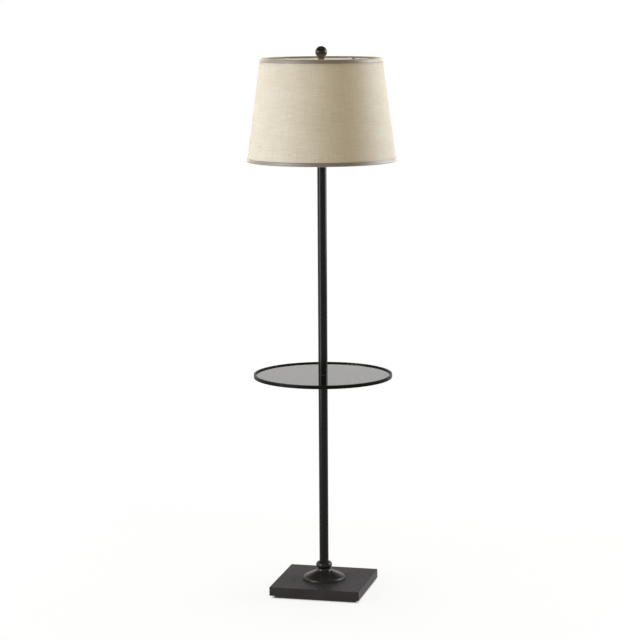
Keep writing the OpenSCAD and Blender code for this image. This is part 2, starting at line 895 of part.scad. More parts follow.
// Screw base, tapering to the insulator round its contact
module bulb_base() {
    r = bulb_base_d / 2;
    color(zinc) translate([0, 0, bulb_z]) difference() {
        union() {
            translate([0, 0, bulb_tip_h]) cylinder(h = bulb_cone_h - bulb_tip_h, r1 = bulb_cone_r, r2 = r);
            translate([0, 0, bulb_cone_h]) cylinder(h = bulb_base_h - bulb_cone_h, r = r);
        }
        translate([0, 0, bulb_cone_h + bulb_base_floor])
            cylinder(h = bulb_base_h, r = bulb_neck_r + seat_gap);
    }
}

module bulb_contact() {
    color(zinc) translate([0, 0, bulb_z]) cylinder(h = bulb_tip_h, r = bulb_tip_r);
}

// Half section of the bulb: a globe that runs into its neck through a hollow curve
module bulb_section(skin) {
    globe_r = bulb_d / 2 - skin;
    curve_r = bulb_neck_curve + skin;
    globe = [0, globe_z];
    curve = [neck_curve_x, neck_curve_z];
    foot = bulb_z + bulb_base_h - bulb_neck_seat + skin;
    meet = globe + globe_r / (globe_r + curve_r) * (curve - globe);
    intersection() {
        difference() {
            union() {
                translate(globe) circle(r = globe_r);
                polygon([
                    [0, foot], [bulb_neck_r - skin, foot], [bulb_neck_r - skin, neck_curve_z],
                    curve, meet, globe
                ]);
            }
            translate(curve) circle(r = curve_r);
        }
        translate([0, foot]) square([bulb_d, bulb_len]);
    }
}

module bulb_glass() {
    color(frosted) difference() {
        rotate_extrude() bulb_section(0);
        rotate_extrude() bulb_section(bulb_glass_wall);
    }
}

// ---------- Harp ----------

// One side of the harp above its saddle, from its foot to the middle of its top
module harp_side() {
    r = harp_wire_r;
    lift = -saddle_top;
    lower = [harp_foot_x + harp_bend_r, bend_z + lift];
    upper = [harp_side_x - harp_bend_r, side_z + lift];
    corner = [harp_side_x - harp_top_r, harp_wire_top - harp_top_r + lift];
    slope = [cos(harp_swing), sin(harp_swing)];
    wire_line([harp_foot_x, foot_z + lift], [harp_foot_x, lower[1]], r);
    wire_arc(lower, harp_bend_r, 180 - harp_swing, 180, r);
    wire_line(lower + [-slope[0], slope[1]] * harp_bend_r, upper + [slope[0], -slope[1]] * harp_bend_r, r);
    wire_arc(upper, harp_bend_r, -harp_swing, 0, r);
    wire_line([harp_side_x, upper[1]], [harp_side_x, corner[1]], r);
    wire_arc(corner, harp_top_r, 0, 90, r);
    wire_line([-over, corner[1] + harp_top_r], [corner[0], corner[1] + harp_top_r], r);
}

module harp() {
    color(nickel) translate([0, 0, saddle_top]) {
        harp_side();
        mirror([1, 0, 0]) harp_side();
    }
}

// Clamp round the top of the harp with the seat and the stud for the shade
module harp_stud() {
    foot = harp_wire_top - harp_wire_r - stud_wrap;
    color(nickel) difference() {
        union() {
            translate([0, 0, foot]) cylinder(h = harp_seat_z - foot, d = stud_boss_d);
            translate([0, 0, harp_seat_z - stud_plate_t])
                cylinder(h = stud_plate_t, d = stud_plate_d);
            translate([0, 0, harp_seat_z - over]) cylinder(h = stud_h + over, d = stud_d);
        }
        translate([-stud_plate_d, 0, harp_wire_top]) rotate([0, 90, 0])
            cylinder(h = 2 * stud_plate_d, r = harp_wire_r + seat_gap, $fn = 48);
    }
}

// Sleeve that slides down over the harp's foot and the saddle's end
module harp_ferrule() {
    translate([harp_foot_x, 0, ferrule_z]) difference() {
        rotate_extrude() polygon([
            [0, 0], [ferrule_r, 0], [ferrule_r, collar_z - ferrule_z + collar_shoulder],
            [harp_wire_r + collar_wall, ferrule_top - ferrule_z], [0, ferrule_top - ferrule_z]
        ]);
        translate([0, 0, -over]) cylinder(h = collar_z - ferrule_z + over, r = ferrule_bore_r);
        translate([0, 0, -over])
            cylinder(h = ferrule_top - ferrule_z + 2 * over, r = harp_wire_r + fit_gap);
    }
}

module harp_ferrule_left() {
    color(brass) mirror([1, 0, 0]) harp_ferrule();
}

module harp_ferrule_right() {
    color(brass) harp_ferrule();
}

// ---------- Shade ----------

// Arms that run level from the hub and turn up to the top ring. extra widens them for
// the notches in the trim
module spider_arms(extra) {
    r = arm_wire_d / 2 + extra;
    level = hub_t / 2;
    slope = [cos(arm_slope), sin(arm_slope)];
    ring_at = [top_ring_r, top_ring_z - hub_z];
    sloped = (ring_at[1] - level - arm_bend_r * (1 - slope[0])) / slope[1];
    bend_end = ring_at - sloped * slope;
    bend_start = [bend_end[0] - arm_bend_r * slope[1], level];
    translate([0, 0, hub_z]) for (i = [0 : arm_count - 1])
        rotate([0, 0, arm_phase + i * 360 / arm_count]) {
            wire_line([hub_d / 2 - arm_root, level], bend_start, r);
            wire_arc(bend_start + [0, arm_bend_r], arm_bend_r, -90, arm_slope - 90, r);
            wire_line(bend_end, ring_at - (arm_end - extra) * slope, r);
        }
}

module ring(z, r, wire_r) {
    translate([0, 0, z]) rotate_extrude() translate([r, 0]) circle(r = wire_r, $fn = 48);
}

// Upright cylinder round the axis that takes in the whole height of the spider
module spider_zone(r) {
    translate([0, 0, hub_z - arm_wire_d])
        cylinder(h = shade_top - hub_z + 2 * arm_wire_d, r = r);
}

module spider() {
    color(dark_metal) difference() {
        union() {
            translate([0, 0, hub_z]) cylinder(h = hub_t, d = hub_d);
            difference() {
                spider_arms(0);
                spider_zone(hub_d / 2 - arm_root);
            }
        }
        translate([0, 0, hub_z - over]) cylinder(h = hub_t + 2 * over, r = stud_d / 2 + run_gap);
        ring(top_ring_z, top_ring_r, ring_wire_r + seat_gap);
    }
}

module shade_top_ring() {
    color(nickel) ring(top_ring_z, top_ring_r, ring_wire_r);
}

module shade_bottom_ring() {
    color(nickel) ring(bottom_ring_z, bottom_ring_r, ring_wire_r);
}

// Sloping wall as high as the shade less lip at both ends, from depth near to depth
// near + t inside the shade's outer surface
module shade_wall(lip, near, t) {
    z0 = shade_bottom + lip;
    z1 = shade_top - lip;
    rotate_extrude() polygon([
        [shade_r(z0) - near, z0], [shade_r(z1) - near, z1],
        [shade_r(z1) - near - t, z1], [shade_r(z0) - near - t, z0]
    ]);
}

module shade_fabric() {
    color(linen) shade_wall(layer_lip, fabric_in, fabric_t);
}

module shade_liner() {
    color(lining) shade_wall(layer_lip, liner_in, liner_t);
}

// Tape folded over the shade's edge. edge is the height of the fold and
// way is -1 where the tape hangs down from it and 1 where it rises
module folded_tape(edge, way) {
    function up(h) = edge + way * h;
    function out(h) = shade_r(up(h));
    fold_far = fold_in + fold_t;
    rotate_extrude() polygon([
        [out(tape_round), up(tape_round)], [out(trim_h), up(trim_h)],
        [out(trim_h) - trim_t, up(trim_h)], [out(fold_t) - trim_t, up(fold_t)],
        [out(fold_t) - fold_in, up(fold_t)], [out(fold_h) - fold_in, up(fold_h)],
        [out(fold_h) - fold_far, up(fold_h)], [out(tape_round) - fold_far, up(tape_round)],
        [out(0) - fold_far + tape_round, up(0)], [out(0) - tape_round, up(0)]
    ]);
}

module shade_top_trim() {
    color(tape) difference() {
        folded_tape(shade_top, -1);
        intersection() {
            spider_arms(run_gap);
            spider_zone(top_ring_r);
        }
    }
}

module shade_bottom_trim() {
    color(tape) folded_tape(shade_bottom, 1);
}

// ---------- Finial ----------

// Half section of the finial, from its foot upwards: a ball that runs into its stem
// through a hollow curve
module finial_section() {
    foot_r = finial_foot_d / 2;
    stem_r = stem_d / 2;
    ball = [0, ball_lift];
    curve_x = stem_r + stem_curve_r;
    curve = [curve_x, ball_lift - sqrt(pow(ball_r + stem_curve_r, 2) - pow(curve_x, 2))];
    meet = ball + ball_r / (ball_r + stem_curve_r) * (curve - ball);
    difference() {
        polygon([[0, curve[1]], curve, meet, ball]);
        translate(curve) circle(r = stem_curve_r);
    }
    square([stem_r, curve[1]]);
    polygon([
        [0, 0], [foot_r, 0], [foot_r, finial_foot_h - finial_chamfer],
        [foot_r - finial_chamfer, finial_foot_h], [0, finial_foot_h]
    ]);
    intersection() {
        translate(ball) circle(r = ball_r);
        square([ball_r, finial_h]);
    }
}

module finial() {
    color(bronze) translate([0, 0, finial_z]) difference() {
        rotate_extrude() finial_section();
        translate([0, 0, -over]) cylinder(h = insert_h + seat_gap + over, r = insert_r + seat_gap);
    }
}

module finial_insert() {
    color(brass) tube(finial_z, insert_h, insert_r, stud_d / 2 + fit_gap);
}

felt_pad();
bottom_plate();
bottom_plate_screws();
base_weight();
base_cover();
cord_bushing();
base_washer();
base_lock_nut();
base_nipple();
base_flare();
neck_bead();
lower_tube();
lower_tube_foot_plug();
lower_tube_head_plug();
table_nipple();
glass_grommet();
glass_washer();
table_glass();
table_rim();
upper_tube();
upper_tube_foot_plug();
upper_tube_head_plug();
head_nipple();
tube_cap();
harp_saddle();
saddle_lock_nut();
socket_cap();
socket_shell();
socket_liner();
socket_body();
screw_shell();
centre_contact();
terminal_screws();
switch_knob();
bulb_base();
bulb_contact();
bulb_glass();
harp();
harp_stud();
harp_ferrule_left();
harp_ferrule_right();
spider();
shade_top_ring();
shade_bottom_ring();
shade_fabric();
shade_liner();
shade_top_trim();
shade_bottom_trim();
finial();
finial_insert();
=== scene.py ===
import json
import math

import bpy
import numpy as np
from mathutils import Matrix, Vector


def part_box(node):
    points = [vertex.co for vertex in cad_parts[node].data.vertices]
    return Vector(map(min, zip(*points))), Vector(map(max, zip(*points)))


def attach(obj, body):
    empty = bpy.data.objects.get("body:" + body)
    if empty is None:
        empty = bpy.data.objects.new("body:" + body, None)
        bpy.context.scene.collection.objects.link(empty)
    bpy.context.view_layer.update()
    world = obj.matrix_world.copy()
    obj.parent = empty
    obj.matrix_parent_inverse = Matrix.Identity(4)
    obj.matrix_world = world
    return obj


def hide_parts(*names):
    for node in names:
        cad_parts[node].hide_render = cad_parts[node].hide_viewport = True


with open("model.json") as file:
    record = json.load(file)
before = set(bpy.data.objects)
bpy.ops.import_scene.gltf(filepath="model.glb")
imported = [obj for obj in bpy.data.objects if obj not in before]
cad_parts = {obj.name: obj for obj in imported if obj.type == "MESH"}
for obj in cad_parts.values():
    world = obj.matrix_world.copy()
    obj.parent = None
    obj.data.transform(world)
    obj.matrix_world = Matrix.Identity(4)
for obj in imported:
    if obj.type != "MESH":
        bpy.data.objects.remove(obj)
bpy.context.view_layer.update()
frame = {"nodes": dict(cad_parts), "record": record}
MM = 0.001


# ---------- Camera ----------

# The photograph's view: the camera stands CAMERA_AZIMUTH degrees round from the
# front of the base, and looks slightly down at the middle of the lamp. Distances are
# in metres, angles in degrees, and the lens and the sensor in millimetres.
CAMERA_AZIMUTH = 13.372
CAMERA_DISTANCE = 5.86
CAMERA_HEIGHT = 1.6447
CAMERA_PITCH = 8.609
CAMERA_YAW = 0.072
CAMERA_ROLL = -0.339
CAMERA_REACH = 100
CAMERA_LENS = 121.974
SENSOR_WIDTH = 36


def turned(vector, degrees):
    """The vector turned about the vertical."""
    return Matrix.Rotation(math.radians(degrees), 3, "Z") @ Vector(vector)


def make_camera():
    """The camera at the photograph's place, turned by its yaw, pitch and roll."""
    data = bpy.data.cameras.new("camera")
    data.lens = CAMERA_LENS
    data.sensor_width = SENSOR_WIDTH
    data.clip_end = CAMERA_REACH
    camera = bpy.data.objects.new("camera", data)
    bpy.context.scene.collection.objects.link(camera)
    heading = CAMERA_AZIMUTH + CAMERA_YAW
    pitch = math.radians(CAMERA_PITCH)
    roll = math.radians(CAMERA_ROLL)
    level_right = turned((1, 0, 0), heading)
    level_ahead = turned((0, 1, 0), heading)
    ahead = level_ahead * math.cos(pitch) + Vector((0, 0, -math.sin(pitch)))
    level_up = level_ahead * math.sin(pitch) + Vector((0, 0, math.cos(pitch)))
    right = level_right * math.cos(roll) + level_up * math.sin(roll)
    up = level_up * math.cos(roll) - level_right * math.sin(roll)
    place = turned((0, -CAMERA_DISTANCE, CAMERA_HEIGHT), CAMERA_AZIMUTH)
    columns = Matrix((right, up, -ahead)).transposed()
    camera.matrix_world = Matrix.Translation(place) @ columns.to_4x4()
    bpy.context.scene.camera = camera


# ---------- Colours ----------

# The two colours that each finish runs between, in linear values: the one where its
# pattern is 0, and the one where it is 1
COLOURS = {
    "dark_metal": ((0.0205, 0.0182, 0.019), (0.0295, 0.0268, 0.028)),
    "gloss_metal": ((0.0125, 0.0115, 0.0105), (0.018, 0.0165, 0.0155)),
    "pole_metal": ((0.0042, 0.0040, 0.0038), (0.006, 0.0057, 0.0055)),
    "rim_metal": ((0.006, 0.0057, 0.0053), (0.009, 0.0085, 0.008)),
    # The bronze's first colour is a painted reflection of the shade's warm light, and its second is the
    # finish's own dark
    "bronze": ((0.15, 0.092, 0.05), (0.006, 0.0058, 0.0052)),
    "cast_weight": ((0.06, 0.06, 0.06), (0.16, 0.155, 0.15)),
    "black_plastic": ((0.012, 0.012, 0.012), (0.02, 0.02, 0.02)),
    "phenolic": ((0.02, 0.015, 0.012), (0.035, 0.028, 0.022)),
    "felt": ((0.008, 0.008, 0.008), (0.03, 0.03, 0.03)),
    "zinc": ((0.5, 0.5, 0.48), (0.66, 0.66, 0.64)),
    "brass": ((0.66, 0.46, 0.18), (0.82, 0.62, 0.28)),
    "nickel": ((0.4, 0.385, 0.36), (0.52, 0.5, 0.47)),
    "rubber": ((0.01, 0.01, 0.01), (0.018, 0.018, 0.018)),
    "grey_glass": ((0.09, 0.084, 0.07), (0.105, 0.099, 0.084)),
    "fibre": ((0.28, 0.2, 0.12), (0.4, 0.3, 0.2)),
    "frosted_glass": ((0.76, 0.76, 0.73), (0.82, 0.82, 0.79)),
    "linen": ((0.41, 0.352, 0.27), (0.73, 0.68, 0.625)),
    "liner": ((0.925, 0.93, 0.935), (0.95, 0.955, 0.96)),
    "tape": ((0.076, 0.049, 0.028), (0.158, 0.11, 0.072)),
    "pale_floor": ((0.52, 0.52, 0.52), (0.54, 0.54, 0.54)),
}

# Faintly warm reflections of the paint, the waxed foot and finial, and the satin tape
PAINT_TINT = (1.0, 0.95, 0.91, 1)
WAX_TINT = (1.0, 0.92, 0.84, 1)
SATIN_TINT = (1.0, 0.93, 0.86, 1)


# ---------- Node helpers ----------

# A noise's values lie mostly between these two
NOISE_LOW = 0.3
NOISE_HIGH = 0.7


class Shading:
    """A material's node tree with one Principled surface."""

    def __init__(self, name):
        self.colours = COLOURS[name]
        self.material = bpy.data.materials.new(name)
        self.material.use_nodes = True
        self.tree = self.material.node_tree
        self.surface = self.tree.nodes["Principled BSDF"]
        self.place = self.add("ShaderNodeTexCoord").outputs["Object"]

    def add(self, kind, **values):
        """A new node of a kind, with its own settings."""
        node = self.tree.nodes.new(kind)
        for key, value in values.items():
            setattr(node, key, value)
        return node

    def link(self, source, target):
        self.tree.links.new(source, target)

    def set(self, **values):
        """Sets the surface's own sockets; an underscore in a key stands for a space."""
        for key, value in values.items():
            self.surface.inputs[key.replace("_", " ")].default_value = value

    def scaled(self, scale, source=None):
        """The place, stretched by a scale along each axis."""
        node = self.add("ShaderNodeMapping")
        node.inputs["Scale"].default_value = scale
        self.link(source or self.place, node.inputs["Vector"])
        return node.outputs["Vector"]

    def noise(self, scale, detail=3, roughness=0.55, source=None):
        """Noise of a scale, in lumps per metre of the place."""
        node = self.add("ShaderNodeTexNoise")
        node.inputs["Scale"].default_value = scale
        node.inputs["Detail"].default_value = detail
        node.inputs["Roughness"].default_value = roughness
        self.link(source or self.place, node.inputs["Vector"])
        return node.outputs["Fac"]

    def remap(self, source, low, high, from_low=0.0, from_high=1.0):
        """The source's range, clamped at its ends, turned into low to high."""
        node = self.add("ShaderNodeMapRange")
        node.inputs["From Min"].default_value = from_low
        node.inputs["From Max"].default_value = from_high
        node.inputs["To Min"].default_value = low
        node.inputs["To Max"].default_value = high
        self.link(source, node.inputs["Value"])
        return node.outputs["Result"]

    def spread(self, noise):
        """A noise stretched to run from 0 to 1."""
        return self.remap(noise, 0, 1, NOISE_LOW, NOISE_HIGH)

    def combine(self, kind, a, b=None):
        """A math node on one or two values, each a socket or a number."""
        node = self.add("ShaderNodeMath", operation=kind)
        for socket, value in zip(node.inputs, (a, b)):
            if value is None:
                continue
            if isinstance(value, (int, float)):
                socket.default_value = value
            else:
                self.link(value, socket)
        return node.outputs["Value"]

    def axes(self):
        """The place's X, Y and Z."""
        node = self.add("ShaderNodeSeparateXYZ")
        self.link(self.place, node.inputs["Vector"])
        return node.outputs

    def colour(self, pattern):
        """Colours the surface between the finish's two colours."""
        node = self.add("ShaderNodeMix", data_type="RGBA")
        self.link(pattern, node.inputs["Factor"])
        for socket, colour in zip(node.inputs[6:8], self.colours):
            socket.default_value = (*colour, 1)
        self.link(node.outputs[2], self.surface.inputs["Base Color"])

    def roughness(self, pattern, low, high):
        """Roughness from low to high."""
        self.link(self.remap(pattern, low, high), self.surface.inputs["Roughness"])

    def bump(self, height, distance, strength=1.0):
        """Relief on the surface, distance deep at a height of 1."""
        node = self.add("ShaderNodeBump")
        node.inputs["Distance"].default_value = distance
        node.inputs["Strength"].default_value = strength
        self.link(height, node.inputs["Height"])
        self.link(node.outputs["Normal"], self.surface.inputs["Normal"])


# ---------- Materials ----------

# Sprayed paint: clouds of tone, smears in the gloss and the orange peel, in lumps per
# metre, and the peel's depth
CLOUDS = 14
SMEARS = 60
PEEL = 900
PEEL_DEPTH = 0.06 * MM

# The foot's paint: its roughness at the bottom, and from this share of its height up
DULL_ROUGHNESS = 0.4
WAXED_ROUGHNESS = 0.22
WAXED_SHARE = 0.7

# The finial's painted reflection: its colour turns from brown, the shade's warm light painted in, to
# dark between these shares of its height
BROWN_SHARE = 0.1
DARK_SHARE = 0.62

# Weave: the stretched noises that give thicker threads and patches, in lumps per metre
# across the cloth and up it
THICK_WEFT = (22, 700, 1)
THICK_WARP = (600, 18, 1)
PATCHES = (9, 30, 1)
THREAD_NOISE = 0.65

# Weave: the weft's share of the slubs, the noise at which a slub starts, the shares of
# the weave and the patches in the tone, the tones at which the cloth has its two
# colours, and how strongly the threads stand out
WEFT_SHARE = 0.62
SLUB_LOW = 0.32
WEAVE_SHARE = 0.35
PATCH_SHARE = 0.2
TONE_LOW = 0.15
TONE_HIGH = 0.95
RELIEF_SHARE = 0.6
RELIEF_STRENGTH = 0.7

# A wave texture of scale 1 runs through this many radians in a metre
WAVE_RADIANS = 20

# The ribbon's shine, stronger than common cloth's
SATIN_IOR = 1.8


def powder_coat(name, roughness, level, peel):
    """Satin painted metal: a fine orange peel and faint clouds in colour and gloss."""
    finish = Shading(name)
    finish.colour(finish.spread(finish.noise(CLOUDS, detail=4)))
    finish.roughness(finish.noise(SMEARS), low=roughness - 0.05, high=roughness + 0.07)
    finish.bump(finish.noise(PEEL, detail=2), distance=PEEL_DEPTH, strength=peel)
    finish.set(Specular_IOR_Level=level, Specular_Tint=PAINT_TINT)
    return finish.material


def waxed_coat(name, node):
    """Glossy painted metal that grows dull towards the foot of a node."""
    finish = Shading(name)
    finish.colour(finish.spread(finish.noise(CLOUDS, detail=4)))
    low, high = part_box(node)
    waxed_z = low.z + WAXED_SHARE * (high.z - low.z)
    dull = finish.remap(finish.axes()["Z"], DULL_ROUGHNESS, WAXED_ROUGHNESS, low.z, waxed_z)
    smears = finish.remap(finish.noise(SMEARS), low=-0.03, high=0.05)
    finish.link(finish.combine("ADD", dull, smears), finish.surface.inputs["Roughness"])
    finish.bump(finish.noise(PEEL, detail=2), distance=PEEL_DEPTH, strength=0.5)
    finish.set(Specular_IOR_Level=0.26, Specular_Tint=WAX_TINT)
    return finish.material


def bronze_with_painted_reflection(name, node):
    """Glossy dark finish with a painted reflection: brown towards the foot of a node, where the shade's
    warm light is painted in, and dark above.
    """
    finish = Shading(name)
    low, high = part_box(node)
    brown_z = low.z + BROWN_SHARE * (high.z - low.z)
    dark_z = low.z + DARK_SHARE * (high.z - low.z)
    # Painted reflection: the lower part takes the shade's warm light as brown, and noise mottles its
    # edge
    share = finish.remap(finish.axes()["Z"], 0, 1, brown_z, dark_z)
    reflection_mottle = finish.remap(finish.noise(220, detail=4), low=-0.25, high=0.25)
    finish.colour(finish.combine("ADD", share, reflection_mottle))
    finish.roughness(finish.noise(400), low=0.08, high=0.14)
    finish.bump(finish.noise(500), distance=0.04 * MM, strength=0.5)
    finish.set(Specular_IOR_Level=0.36, Specular_Tint=WAX_TINT)
    return finish.material


def plated(name, roughness, grain):
    """Bare or plated metal with a fine drawn grain: grain is its streaks per metre along
    each axis."""
    finish = Shading(name)
    streaks = finish.noise(1, detail=4, roughness=0.6, source=finish.scaled(grain))
    finish.colour(finish.spread(streaks))
    finish.roughness(streaks, low=roughness - 0.06, high=roughness + 0.08)
    finish.bump(streaks, distance=0.02 * MM, strength=0.5)
    finish.set(Metallic=1.0)
    return finish.material


def moulded(name, roughness):
    """Moulded plastic with a fine sparked grain."""
    finish = Shading(name)
    finish.colour(finish.noise(40))
    finish.roughness(finish.noise(300, detail=2), low=roughness - 0.06, high=roughness + 0.06)
    finish.bump(finish.noise(1800, detail=2), distance=0.05 * MM, strength=0.6)
    return finish.material


def fibrous(name):
    """Felt: short fibres that lie every way."""
    finish = Shading(name)
    fibres = finish.noise(1400, detail=4, roughness=0.7)
    finish.colour(fibres)
    finish.bump(fibres, distance=0.3 * MM)
    finish.set(Roughness=0.95, Sheen_Weight=0.3)
    return finish.material


def sand_cast(name):
    """Cast iron with the grain of its sand mould."""
    finish = Shading(name)
    grain = finish.noise(260, detail=5, roughness=0.65)
    finish.colour(grain)
    finish.bump(grain, distance=0.4 * MM)
    finish.set(Roughness=0.75, Metallic=0.4)
    return finish.material


def clear_glass(name):
    """Tinted glass with faint smears."""
    finish = Shading(name)
    finish.colour(finish.noise(3, detail=2))
    finish.roughness(finish.noise(25, detail=4), low=0.0, high=0.02)
    finish.set(Transmission_Weight=1.0, IOR=1.38)
    return finish.material


def etched_glass(name):
    """Frosted glass with a fine etched grain and faint clouds."""
    finish = Shading(name)
    finish.colour(finish.noise(50))
    finish.roughness(finish.noise(700, detail=2), low=0.35, high=0.5)
    finish.set(Transmission_Weight=0.15, IOR=1.45)
    return finish.material


def fibre_board(name):
    """Pressed fibre with an upright grain."""
    finish = Shading(name)
    grain = finish.noise(1, detail=4, roughness=0.6, source=finish.scaled((400, 400, 60)))
    finish.colour(grain)
    finish.bump(grain, distance=0.1 * MM, strength=0.5)
    finish.set(Roughness=0.8)
    return finish.material


def styrene(name):
    """Stiff lining: smooth satin sheet with the fabric's weave faintly pressed in."""
    finish = Shading(name)
    finish.colour(finish.noise(20))
    finish.roughness(finish.noise(120, detail=2), low=0.5, high=0.62)
    weave = finish.noise(1, roughness=0.6, source=finish.scaled((900, 900, 1500)))
    finish.bump(weave, distance=0.05 * MM, strength=0.5)
    return finish.material


def threads(finish, uv, direction, count, drift):
    """Threads side by side along a direction, count of them per metre, that wander by
    drift. Each is half a wave wide."""
    wave = finish.add("ShaderNodeTexWave", bands_direction=direction)
    wave.inputs["Scale"].default_value = count / WAVE_RADIANS * math.pi
    wave.inputs["Distortion"].default_value = drift
    wave.inputs["Detail"].default_value = 1.0
    wave.inputs["Detail Scale"].default_value = 0.3
    finish.link(uv, wave.inputs["Vector"])
    return wave.outputs["Fac"]


def woven(name, warp, weft, slub, depth, sheen, roughness, level):
    """Plain weave laid out in UV metres: warp and weft are threads per metre, and slub
    is how strongly the thicker threads show. The threads are a little glossy."""
    finish = Shading(name)
    uv = finish.add("ShaderNodeUVMap").outputs["UV"]
    warp_threads = threads(finish, uv, "X", warp, drift=3)
    weft_threads = threads(finish, uv, "Y", weft, drift=5)
    weave = finish.combine("MULTIPLY", warp_threads, weft_threads)
    thick_weft = finish.noise(1, detail=4, roughness=THREAD_NOISE, source=finish.scaled(THICK_WEFT, uv))
    thick_warp = finish.noise(1, detail=4, roughness=THREAD_NOISE, source=finish.scaled(THICK_WARP, uv))
    patches = finish.noise(1, roughness=0.5, source=finish.scaled(PATCHES, uv))
    slubs = finish.combine(
        "ADD",
        finish.remap(thick_weft, 0, WEFT_SHARE, SLUB_LOW, NOISE_HIGH),
        finish.remap(thick_warp, 0, 1 - WEFT_SHARE, SLUB_LOW, NOISE_HIGH),
    )
    tone = finish.combine(
        "ADD",
        finish.combine("MULTIPLY", slubs, slub),
        finish.combine("MULTIPLY", weave, WEAVE_SHARE),
    )
    tone = finish.combine("ADD", tone, finish.combine("MULTIPLY", patches, PATCH_SHARE))
    finish.colour(finish.remap(tone, 0, 1, from_low=TONE_LOW, from_high=TONE_HIGH))
    relief = finish.combine(
        "ADD",
        finish.combine("MULTIPLY", weave, RELIEF_SHARE),
        finish.combine("MULTIPLY", slubs, RELIEF_SHARE),
    )
    finish.bump(relief, distance=depth, strength=RELIEF_STRENGTH)
    finish.set(Roughness=roughness, Specular_IOR_Level=level)
    finish.set(Sheen_Weight=sheen, Sheen_Roughness=0.4)
    return finish


def linen_cloth(name):
    """Linen with thicker threads both ways."""
    finish = woven(
        name, warp=900, weft=900, slub=0.45, depth=0.4 * MM,
        sheen=0.15, roughness=0.6, level=0.3,
    )
    return finish.material


def satin_tape(name):
    """Ribbon woven so closely that it shines."""
    finish = woven(
        name, warp=1400, weft=500, slub=0.2, depth=0.3 * MM,
        sheen=1.0, roughness=0.5, level=0.7,
    )
    finish.set(IOR=SATIN_IOR, Specular_Tint=SATIN_TINT)
    return finish.material


def make_materials():
    """One material for each slot of the record."""
    return {
        "dark_metal": powder_coat("dark_metal", roughness=0.45, level=0.14, peel=0.4),
        "gloss_metal": waxed_coat("gloss_metal", "base_flare"),
        "pole_metal": powder_coat("pole_metal", roughness=0.2, level=0.15, peel=0.15),
        "bronze": bronze_with_painted_reflection("bronze", "finial"),
        "cast_weight": sand_cast("cast_weight"),
        "black_plastic": moulded("black_plastic", roughness=0.5),
        "phenolic": moulded("phenolic", roughness=0.35),
        "felt": fibrous("felt"),
        "zinc": plated("zinc", roughness=0.36, grain=(400, 400, 40)),
        "brass": plated("brass", roughness=0.3, grain=(60, 60, 900)),
        "nickel": plated("nickel", roughness=0.3, grain=(500, 500, 50)),
        "rubber": moulded("rubber", roughness=0.7),
        "grey_glass": clear_glass("grey_glass"),
        "fibre": fibre_board("fibre"),
        "frosted_glass": etched_glass("frosted_glass"),
        "linen": linen_cloth("linen"),
        "liner": styrene("liner"),
        "tape": satin_tape("tape"),
    }


# ---------- Mesh helpers ----------

# Edges that turn by more than this angle stay sharp
SHARP_DEGREES = 32


def mesh_object(name, points, faces, uvs=None):
    """A smooth mesh object; uvs holds one pair for each corner of each face, in order."""
    mesh = bpy.data.meshes.new(name)
    mesh.from_pydata([tuple(p) for p in points], [], faces)
    mesh.validate()
    for polygon in mesh.polygons:
        polygon.use_smooth = True
    if uvs is not None:
        layer = mesh.uv_layers.new(name="weave")
        layer.data.foreach_set("uv", np.asarray(uvs, np.float32).ravel())
    obj = bpy.data.objects.new(name, mesh)
    bpy.context.scene.collection.objects.link(obj)
    return obj


def loft(name, rings, lengths, widths):
    """Closed tube of cloth: rings is an array (around, along the section, xyz). The UV is
    the distance round the shade and the distance along the section, in metres."""
    count, steps = rings.shape[:2]
    faces = []
    uvs = []
    for i in range(count):
        j = (i + 1) % count
        for k in range(steps):
            n = (k + 1) % steps
            faces.append((i * steps + k, j * steps + k, j * steps + n, i * steps + n))
            low, high = widths[k], widths[k + 1]
            left, right = lengths[i], lengths[i + 1]
            uvs.extend([(left, low), (right, low), (right, high), (left, high)])
    return mesh_object(name, rings.reshape(-1, 3), faces, uvs)


def turned_solid(name, rings):
    """Closed solid round the vertical axis: rings is an array (around, along, xyz) whose
    first and last points are joined to the axis."""
    count, steps = rings.shape[:2]
    points = [tuple(p) for p in rings.reshape(-1, 3)]
    points += [(0, 0, rings[0, 0, 2]), (0, 0, rings[0, -1, 2])]
    first, last = len(points) - 2, len(points) - 1
    faces = []
    for i in range(count):
        a, b = i * steps, (i + 1) % count * steps
        faces.append((first, b, a))
        faces.extend((a + k, b + k, b + k + 1, a + k + 1) for k in range(steps - 1))
        faces.append((a + steps - 1, b + steps - 1, last))
    return mesh_object(name, points, faces)


def sharpen(obj):
    """Shades an object smooth, apart from its sharp edges."""
    mesh = obj.data
    for polygon in mesh.polygons:
        polygon.use_smooth = True
    mesh.set_sharp_from_angle(angle=math.radians(SHARP_DEGREES))


def step_between(value, start, end):
    """Smooth rise from 0 to 1."""
    t = np.clip((value - start) / (end - start), 0, 1)
    return t * t * (3 - 2 * t)


# ---------- Shade ----------

# Cloth is swept round the shade from the seam at its back: in short steps over the laps
# and a margin beyond them, and then in longer ones
SEAM_HEADING = 90
SEAM_STEP = 0.5 * MM
LAP_MARGIN = 5 * MM
SHADE_TURNS = 240

# The linen: its thickness, its steps up the shade, and its glued seam's width, its rise,
# its rounded edge and how it fades out
LINEN_THICKNESS = 0.6 * MM
LINEN_STEPS = 24
SEAM_WIDTH = 12 * MM
SEAM_RISE = 0.45 * MM
SEAM_EDGE = 0.6 * MM
SEAM_FADE = 2.5 * MM

# The shade's outer surface at its two edges, over the tape
SHADE_TOP_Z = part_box("shade_top_trim")[1].z
SHADE_TOP_R = 165.8 * MM
SHADE_BOTTOM_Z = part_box("shade_bottom_trim")[0].z
SHADE_BOTTOM_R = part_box("shade_bottom_trim")[1].x
SHADE_SLOPE = (SHADE_BOTTOM_R - SHADE_TOP_R) / (SHADE_TOP_Z - SHADE_BOTTOM_Z)

